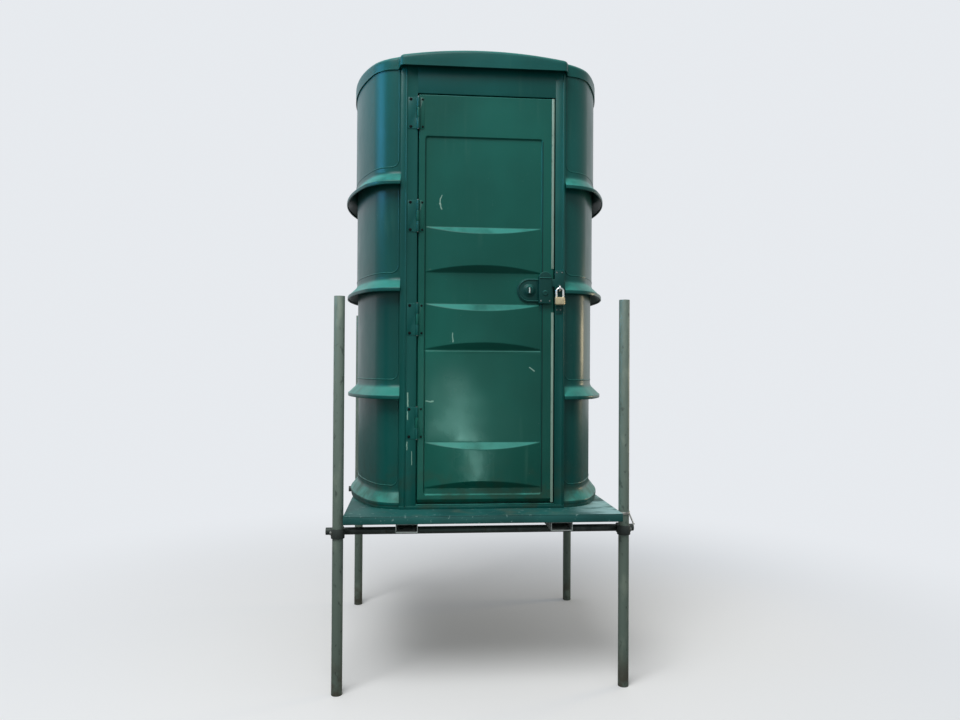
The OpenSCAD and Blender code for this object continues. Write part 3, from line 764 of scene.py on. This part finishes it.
def leaf_height(x, z):
    slope = np.clip(inside(x, z, field_low, field_high, FIELD_CORNER) / FIELD_SLOPE, 0, 1)
    height = -SINK * slope * slope * (3 - 2 * slope)
    bow = np.sqrt(np.maximum(BOW_R ** 2 - (x - field_mid) ** 2, 0)) - (BOW_R - RIB_RISE)
    for foot in RIB_FEET:
        under = (z - DECK_Z - foot) / RIB_SLOPE
        over = (DECK_Z + foot + RIB_H - z) / RIB_SLOPE
        height = soft_max(height, soft_min(soft_min(under, over), bow) - SINK)
    dent = np.exp(-((x - field_mid - DENT_X) ** 2 + (z - DECK_Z - DENT_Z) ** 2) / DENT_SPREAD)
    ripple = np.sin(x * 17 + 1) * np.sin(z * 9 + 0.5)
    panel = np.clip((PANEL_TOP - z) / PANEL_RISE, 0, 1)
    panel = panel * np.clip((z - PANEL_TOP + PANEL_H) / PANEL_FADE, 0, 1)
    height = height - (DENT_DEPTH * dent - RIPPLE * ripple - PANEL_RISE * panel) * slope
    height = height - TOE_D * np.clip(1 - (z - leaf_low.z) / TOE_H, 0, 1)
    edge = np.minimum.reduce([x - leaf_low.x, leaf_high.x - x, z - leaf_low.z, leaf_high.z - z])
    gone = np.clip(EDGE_TURN - edge, 0, EDGE_TURN)
    return height - (EDGE_TURN - np.sqrt(np.maximum(EDGE_TURN ** 2 - gone ** 2, 0)))


def grid_lines(low, high, coarse, fine, turns):
    """Lines from low to high, fine apart within each (centre, half width) in turns and coarse elsewhere.

    The sheet folds near both ends, with a close pair of lines at each fold. The folds are given too.
    """
    lines, here = [low], low
    while here < high - 1e-6:
        near = any(abs(here - centre) < half for centre, half in turns)
        ahead = [centre - half for centre, half in turns if centre - half > here + 1e-6]
        step = fine if near else min([coarse] + [a - here + 1e-5 for a in ahead])
        here = min(here + step, high)
        lines.append(here)
    folds = (low + FOLD, high - FOLD)
    return np.unique(np.round([*lines, *folds, folds[0] - FOLD_GAP, folds[1] + FOLD_GAP], 6)), folds


def build_leaf():
    stiles = [(leaf_low.x, 0.005), (leaf_high.x, 0.005)]
    stiles += [(field_low.x + 0.003, 0.007), (field_high.x - 0.003, 0.007)]
    rails = [(leaf_low.z + 0.010, 0.014), (leaf_high.z, 0.005)]
    rails += [(field_low.z + 0.003, 0.007), (field_high.z - 0.003, 0.007)]
    for foot in RIB_FEET:
        rails += [(DECK_Z + foot + 0.016, 0.024), (DECK_Z + foot + RIB_H - 0.016, 0.024)]
    xs, x_folds = grid_lines(leaf_low.x, leaf_high.x, 0.0085, 0.0012, stiles)
    zs, z_folds = grid_lines(leaf_low.z, leaf_high.z, 0.012, 0.0016, rails)
    x, z = np.meshgrid(xs, zs)
    front = FRONT_Y - leaf_height(x, z)
    hollow = (x > x_folds[0] - 1e-6) & (x < x_folds[1] + 1e-6)
    hollow &= (z > z_folds[0] - 1e-6) & (z < z_folds[1] + 1e-6)
    back = np.where(hollow, np.minimum(front + SKIN, leaf_high.y), leaf_high.y)
    points = np.vstack([np.stack([x, y, z], axis=-1).reshape(-1, 3) for y in (front, back)])
    cells = np.arange(x.size).reshape(x.shape)
    quad = np.stack([cells[:-1, :-1], cells[:-1, 1:], cells[1:, 1:], cells[1:, :-1]], axis=-1).reshape(-1, 4)
    rim = np.concatenate([cells[0, :-1], cells[:-1, -1], cells[-1, :0:-1], cells[:0:-1, 0]])
    after = np.roll(rim, -1)
    sides = np.stack([rim, rim + x.size, after + x.size, after], axis=-1)
    faces = np.vstack([quad, quad[:, ::-1] + x.size, sides])
    print("door grid", *x.shape)
    finish_piece(mesh_piece("pressed_leaf", points, faces), "door", "door_shell", "door_leaf")


build_leaf()
dress("door_edge_trim", "door", "trim", 0.0012, 3)

# %% [markdown]
# ## Latch
#
# A round-ended plate sits in the sunk field. A turn knob with a pale mark stands on it, and beside it a case
# with a round hump covers the bolt. The plate and the case keep the CAD's shape with softer edges; the raised
# rim round the plate is swept, and the knob is turned from a profile.

# %% Latch plate, knob and case
def turned(name, profile, centre, steps=48):
    """A solid of revolution about an axis that points at the viewer of the door."""
    x, y, z = centre
    width = len(profile)
    points, faces = [], []
    for step in range(steps):
        turn = 2 * math.pi * step / steps
        points += [(x + r * math.cos(turn), y - out, z + r * math.sin(turn)) for r, out in profile]
        a, b = step * width, (step + 1) % steps * width
        faces += [(a + i, b + i, b + i + 1, a + i + 1) for i in range(width - 1)]
    return mesh_piece(name, points, faces)


def block(name, low, high, edge, segments=3):
    """A block with rounded edges."""
    corners = [(x, y, z) for x in (low[0], high[0]) for y in (low[1], high[1]) for z in (low[2], high[2])]
    faces = [(0, 1, 3, 2), (4, 6, 7, 5), (0, 4, 5, 1), (2, 3, 7, 6), (0, 2, 6, 4), (1, 5, 7, 3)]
    return bevelled(mesh_piece("block", corners, faces), name, edge, segments)


def bar_on(name, centre, half_x, half_z, near, far, edge, segments=3):
    """A block on the door's front, from near to far in front of the centre's plane."""
    x, y, z = centre
    return block(name, (x - half_x, y - far, z - half_z), (x + half_x, y - near, z + half_z), edge, segments)


dress("latch_plate", "door", "latch_plastic", 0.0018, 3)
dress("latch_case", "door", "latch_plastic", 0.0035, 4)
plate_low, plate_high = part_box("latch_plate")
case_low, case_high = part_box("latch_case")
plate_r = (plate_high.z - plate_low.z) / 2
plate_mid = (plate_low.x + plate_r, plate_low.y, (plate_low.z + plate_high.z) / 2)
rim_r = plate_r - 0.007
rim_line = [(case_low.x, plate_mid[2] + rim_r)]
rim_line += arc((plate_mid[0], plate_mid[2]), rim_r, 90, 270, 40)
rim_line += [(case_low.x, plate_mid[2] - rim_r)]
rim_path = [(x, plate_low.y, z) for x, z in rim_line]
rim = sweep("latch_rim", rim_path, round_section(0.003), "latch_plastic", level=False)
KNOB = [(0, 0.0), (0.031, 0.0), (0.031, 0.0015), (0.029, 0.003), (0.024, 0.0036), (0.021, 0.006),
        (0.0195, 0.008), (0.0165, 0.009), (0, 0.0095)]
KNOB_OUT = KNOB[-1][1]
knob = turned("latch_knob", KNOB, plate_mid)
grip = bar_on("latch_grip", plate_mid, 0.004, 0.017, KNOB_OUT - 0.001, KNOB_OUT + 0.006, 0.0022)
mark = bar_on("latch_mark", plate_mid, 0.0028, 0.013, KNOB_OUT + 0.0055, KNOB_OUT + 0.0066, 0.0003, 1)
finish_piece(mark, "door", "latch_plastic", finish="mark_paint")

case_half = (case_high.x - case_low.x) / 2
case_x = (case_low.x + case_high.x) / 2
hump_mid = (case_x, case_low.y, case_high.z - case_half)
ledge = bar_on("case_ledge", hump_mid, case_half - 0.002, 0.003, -0.004, 0.0025, 0.002)
BOSS = [(0, 0.0), (0.013, 0.0), (0.013, 0.002), (0.011, 0.004), (0.006, 0.0045), (0.0055, 0.003), (0, 0.003)]
boss = turned("case_boss", BOSS, (case_x, case_low.y, (plate_mid[2] + case_low.z) / 2 + 0.018))
for piece in (rim, knob, grip, ledge, boss):
    finish_piece(piece, "door", "latch_plastic")

# %% [markdown]
# ## Hasp and padlock
#
# The arm from the case ends in an upright plate over the jamb, and the padlock hangs from the bright staple
# on it. The lock's body is a rounded block, and its bar is a round section swept along an arch.

# %% Hasp and padlock
dress("hasp", "door", "fitting_paint", 0.0009, 2)
dress("hasp_staple", "door", "lock_steel", 0.0012, 3)
body_low, body_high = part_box("padlock_body")
bar_low, bar_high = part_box("padlock_shackle")
finish_piece(block("padlock_case", body_low, body_high, 0.0055, 5), "door", "lock_brass", "padlock_body")
bar_r = (bar_high.y - bar_low.y) / 2
bar_half = (bar_high.x - bar_low.x) / 2 - bar_r
bar_mid = ((bar_low.x + bar_high.x) / 2, (bar_low.y + bar_high.y) / 2)
arch_z = bar_high.z - bar_r - bar_half
bar_line = [(bar_mid[0] + bar_half, body_high.z - 0.004)]
bar_line += arc((bar_mid[0], arch_z), bar_half, 0, 180, 28)
bar_line += [(bar_mid[0] - bar_half, body_high.z - 0.004)]
bar_path = [(x, bar_mid[1], z) for x, z in bar_line]
bar = sweep("padlock_bar", bar_path, round_section(bar_r, 20), "lock_steel", level=False)
finish_piece(bar, "door", "lock_steel", "padlock_shackle")
for place, x in ("left", bar_mid[0] - bar_half), ("right", bar_mid[0] + bar_half):
    collar = [(x + dx, bar_mid[1] + dy, body_high.z) for dx, dy in round_section(bar_r + 0.001, 24)]
    ring = sweep(f"padlock_collar_{place}", collar, round_section(0.0012, 8), "lock_brass", closed_path=True)
    finish_piece(ring, "door", "lock_brass")

# %% [markdown]
# ## Rivets, screws and bolts
#
# Small fasteners repeat, so a Geometry Nodes tree sets one head on every point of a list. A rivet is a low
# dome; a bolt is a hexagon on a washer. Size, turn and finish are the tree's inputs.

# %% Fastener trees
def fastener_tree(name, hexagonal):
    tree, start = begin_tree(name, Radius="Float", Height="Float", Turn="Vector", Finish="Material")
    inputs = {0: start["Radius"], 1: start["Radius"], 2: start["Height"]}
    size = add_node(tree, "ShaderNodeCombineXYZ", inputs)[0]
    if hexagonal:
        joined = tree.nodes.new("GeometryNodeJoinGeometry")
        for sides, radius, depth in (6, 1.0, 2.0), (20, 1.5, 0.4):
            inputs = {"Vertices": sides, "Radius": radius, "Depth": depth}
            set_inputs(tree, joined, {0: add_node(tree, "GeometryNodeMeshCylinder", inputs)["Mesh"]})
        shape = joined.outputs[0]
    else:
        shape = add_node(tree, "GeometryNodeMeshUVSphere", {"Segments": 16, "Rings": 8})["Mesh"]
    sized = add_node(tree, "GeometryNodeTransform", {"Geometry": shape, "Scale": size})[0]
    inputs = {"Points": start["Geometry"], "Instance": sized, "Rotation": start["Turn"]}
    placed = add_node(tree, "GeometryNodeInstanceOnPoints", inputs)[0]
    return end_tree(tree, placed, start["Finish"])


RIVET = fastener_tree("rivet", hexagonal=False)
BOLT = fastener_tree("bolt", hexagonal=True)
TO_FRONT = (math.pi / 2, 0, 0)


def fasteners(name, points, radius, height, body, slot="pin_steel", finish=None, tree=RIVET, turn=TO_FRONT):
    mesh = bpy.data.meshes.new(name)
    mesh.from_pydata(points, [], [])
    inputs = {"Radius": radius, "Height": height, "Turn": turn, "Finish": FINISHES[finish or slot]}
    finish_piece(run_tree(add_object("points", mesh), name, tree, **inputs), body, slot, finish=finish)


jamb_hinge_low, jamb_hinge_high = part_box("hinge_leaves_jamb")
door_hinge_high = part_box("hinge_leaves_door")[1]
HINGE_L, HINGE_PITCH, HINGE_COUNT, LEAF_T, SCREW_Z = 0.150, 0.490, 4, 0.002, 0.065
hinge_mids = [jamb_hinge_low.z + HINGE_L / 2 + HINGE_PITCH * i for i in range(HINGE_COUNT)]


def hinge_screws(x, back):
    """Two domed screws on each hinge leaf, in a column at x, on the leaf's face in front of its back."""
    return [(x, back - LEAF_T, z + dz) for z in hinge_mids for dz in (-SCREW_Z, SCREW_Z)]


screws = hinge_screws(jamb_hinge_low.x + 0.013, jamb_hinge_high.y)
fasteners("jamb_hinge_screws", screws, 0.0072, 0.0026, "cabin", "dark_steel", "dark_rubber")

# %% Place the other fasteners
screws = hinge_screws(door_hinge_high.x - 0.008, door_hinge_high.y)
fasteners("stile_hinge_screws", screws, 0.0055, 0.0022, "door", "dark_steel", "dark_rubber")
keeper_low, keeper_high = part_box("jamb_keeper")
keeper_mid = (keeper_low.z + keeper_high.z) / 2
screws = [(x, keeper_low.y, keeper_mid) for x in (keeper_low.x + 0.006, keeper_high.x - 0.006)]
fasteners("keeper_screws", screws, 0.0032, 0.0014, "cabin")
hasp_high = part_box("hasp")[1]
rivets = [(hasp_high.x - inset, hasp_high.y - 0.005, hasp_high.z - 0.010) for inset in (0.036, 0.010)]
fasteners("hasp_rivets", rivets, 0.0036, 0.0016, "door")
screws = [(x, case_low.y, case_low.z + 0.012) for x in (case_low.x + 0.010, case_high.x - 0.010)]
fasteners("case_screws", screws, 0.0036, 0.0014, "door")
clamps_low, clamps_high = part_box("post_clamps")
clamps_z = (clamps_low.z + clamps_high.z) / 2
for side, sign, x in ("left", -1, clamps_low.x + 0.001), ("right", 1, clamps_high.x - 0.001):
    posts = [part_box(f"post_{end}_{side}") for end in ("front", "back")]
    bolts = [(x, (low.y + high.y) / 2, clamps_z) for low, high in posts]
    outwards = (0, sign * math.pi / 2, 0)
    fasteners(f"clamp_bolts_{side}", bolts, 0.0085, 0.007, "cabin", tree=BOLT, turn=outwards)

# %% [markdown]
# ## Corner plates of the deck
#
# The side rails stop behind the end rails' flat legs. On a welded frame a small plate closes each corner, so
# one is set there, a hair inside the rails' faces, and the rails' rounded ends leave a fine groove beside it.

# %% Corner plates
end_rail_low, end_rail_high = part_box("rail_front")
side_rail_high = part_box("rail_right")[1]
PLATE_BACK, PLATE_THICK, PLATE_GRIP = 0.0003, 0.0045, 0.0015
plates = []
for sx in (-1, 1):
    for sy in (-1, 1):
        across = sorted(sx * (side_rail_high.x - depth) for depth in (PLATE_BACK, PLATE_THICK))
        along = sorted(sy * reach for reach in (side_rail_high.y - PLATE_GRIP, -end_rail_low.y - 0.004))
        low = (across[0], along[0], end_rail_low.z + PLATE_BACK)
        high = (across[1], along[1], end_rail_high.z - 0.001)
        plates.append(block("plate", low, high, 0.0008, 2))
finish_piece(join("corner_plates", *plates), "cabin", "deck_paint")

# %% [markdown]
# ## Tie wire
#
# Soft wire is wound three times round the front right post, and its ends are twisted together and bent down.
# The turns are one helix that wanders a little; the tail is two strands that wind round each other.

# %% Wind the wire
post_low, post_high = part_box("post_front_right")
post_mid = (post_low + post_high) / 2
post_r = (post_high.x - post_low.x) / 2
WIRE_R, WIRE_TOP = 0.0018, DECK_Z - 0.006
WIRE_TURNS, WIRE_STEPS = 3.2, 115
TAIL, TAIL_TURNS, TAIL_STEPS = 0.055, 5, 60
winding = []
for i in range(WIRE_STEPS + 1):
    turn = -0.9 + 2 * math.pi * WIRE_TURNS * i / WIRE_STEPS
    reach = post_r + WIRE_R + 0.0006 + 0.0006 * math.sin(turn * 0.37)
    z = WIRE_TOP - 0.014 + 0.012 * i / WIRE_STEPS
    winding.append((post_mid.x + reach * math.cos(turn), post_mid.y + reach * math.sin(turn), z))
coil = sweep("wire_turns", winding, round_section(WIRE_R, 10), "wire", level=False)
knot = Vector((math.cos(-math.pi / 4), math.sin(-math.pi / 4), 0))
root = Vector((post_mid.x, post_mid.y, WIRE_TOP - 0.008)) + knot * (post_r + 0.004)
tail_way = (knot * 0.45 + Vector((0, 0, -0.9))).normalized()
across = tail_way.cross(Vector((0, 0, 1))).normalized()
other = tail_way.cross(across)
strands = []
for phase in (0, math.pi):
    line = []
    for i in range(TAIL_STEPS + 1):
        share = i / TAIL_STEPS
        turn = phase + 2 * math.pi * TAIL_TURNS * share
        spread = 0.0021 + 0.004 * max(0, share - 0.85) / 0.15
        aside = across * math.cos(turn) + other * math.sin(turn)
        line.append(root + tail_way * TAIL * share + aside * spread)
    strands.append(sweep("strand", line, round_section(WIRE_R, 8), "wire", level=False))
finish_piece(join("twisted_wire", coil, *strands), "cabin", "wire", "tie_wire")

# %% [markdown]
# ## Floor, light and camera
#
# The stage is plain: a pale floor that fades into a pale backdrop, and four lamps. A large soft one is above
# and in front. A blue one at the left is like open sky, and a low warm one at the right like sunlit ground. A
# narrow faint one in front draws the gleam low on the door. The camera stands where the photographer stood,
# found from the door's edges, the hoops and the deck, and is turned to bring the cabin to the middle.

# %% Stage
BACKDROP = (0.93, 0.96, 1.0, 1)
BACKDROP_STRENGTH = 0.86
FADE_FROM, FADE_TO = 0.6, 4.2


def stage_floor(size=16):
    points = [(-size, -size, 0), (size, -size, 0), (size, size, 0), (-size, size, 0)]
    mesh = bpy.data.meshes.new("floor")
    mesh.from_pydata(points, [], [(0, 1, 2, 3)])
    floor = add_object("floor", mesh)
    finish = bpy.data.materials.new("floor")
    finish.use_nodes = True
    tree = finish.node_tree
    seen = add_node(tree, "ShaderNodeLightPath")["Is Camera Ray"]
    place = add_node(tree, "ShaderNodeTexCoord")["Object"]
    away = add_node(tree, "ShaderNodeVectorMath", {0: place}, {"operation": "LENGTH"})["Value"]
    grey, pale = (0.22, 0.22, 0.22, 1), (0.90, 0.91, 0.91, 1)
    inputs = {"Factor": seen, 6: grey, 7: pale}
    colour = add_node(tree, "ShaderNodeMix", inputs, {"data_type": "RGBA"})[2]
    shader = tree.nodes["Principled BSDF"]
    set_inputs(tree, shader, {"Base Color": colour, "Roughness": 0.9, "Specular IOR Level": 0.1})
    fade = add_node(tree, "ShaderNodeEmission", {"Color": BACKDROP, "Strength": BACKDROP_STRENGTH})[0]
    factor = Value(tree, away).between(FADE_FROM, FADE_TO) * seen
    mixed = add_node(tree, "ShaderNodeMixShader", {0: factor, 1: shader.outputs[0], 2: fade})[0]
    set_inputs(tree, tree.nodes["Material Output"], {"Surface": mixed})
    mesh.materials.append(finish)
    floor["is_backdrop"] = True


def stage_world(light):
    world = bpy.data.worlds.new("studio")
    bpy.context.scene.world = world
    world.use_nodes = True
    tree = world.node_tree
    ray = add_node(tree, "ShaderNodeLightPath")
    seen = Value(tree, ray["Is Camera Ray"]).larger(Value(tree, ray["Is Glossy Ray"]))
    seen = seen.larger(Value(tree, ray["Is Transmission Ray"]))
    strength = seen * (BACKDROP_STRENGTH - light) + light
    set_inputs(tree, tree.nodes["Background"], {"Color": BACKDROP, "Strength": strength})


def soft_light(name, place, target, size, power, colour=(1, 1, 1), spread=180):
    data = bpy.data.lights.new(name, "AREA")
    data.shape = "RECTANGLE"
    data.size, data.size_y = size
    data.energy = power
    data.color = colour
    data.spread = math.radians(spread)
    lamp = add_object(name, data)
    lamp.location = place
    lamp.rotation_euler = (Vector(target) - Vector(place)).to_track_quat("-Z", "Y").to_euler()
    lamp.visible_camera = False


stage_floor()
stage_world(light=0.43)
MIDDLE = (cad_low + cad_high) / 2
soft_light("overhead", (-2.0, -4.4, 8.4), MIDDLE, (4.6, 4.6), 500)
soft_light("left_sky", (-4.1, -0.75, 3.9), (0, 0, 3.5), (2.7, 1.6), 21, (0.10, 0.55, 1.0), spread=60)
soft_light("right_glow", (3.9, 1.0, 1.75), MIDDLE, (1.0, 0.6), 8, (1.0, 0.80, 0.50), spread=90)
soft_light("front_patch", (0.10, -4.85, 0.85), (-0.10, -0.6, 1.2), (0.4, 0.85), 0.28, (0.50, 1.0, 0.88), 14)

# %% Camera
CAMERA_AT = Vector((-0.324, -4.145, 1.502))
YAW, PITCH, ROLL = 0.323, -0.090, -0.011
LENS, SENSOR = 28.0, 36.0


def place_camera(aim):
    """Faces as the photo does, by its yaw to the left, pitch and roll, then turns to look at the aim."""
    facing = Matrix.Rotation(YAW, 3, "Z") @ Matrix.Rotation(math.pi / 2 + PITCH, 3, "X")
    facing = facing @ Matrix.Rotation(ROLL, 3, "Z")
    turn = (-facing.col[2]).rotation_difference(aim - CAMERA_AT).to_matrix()
    data = bpy.data.cameras.new("photo_view")
    data.lens, data.sensor_width = LENS, SENSOR
    camera = add_object("photo_view", data)
    camera.matrix_world = Matrix.Translation(CAMERA_AT) @ (turn @ facing).to_4x4()
    bpy.context.scene.camera = camera


place_camera(Vector((0.03, -0.1, MIDDLE.z)))
bpy.context.scene.view_settings.view_transform = "Standard"

# %% Print the visual box
low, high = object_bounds()
print("visual box", [round(v, 3) for v in (*low, *high)])
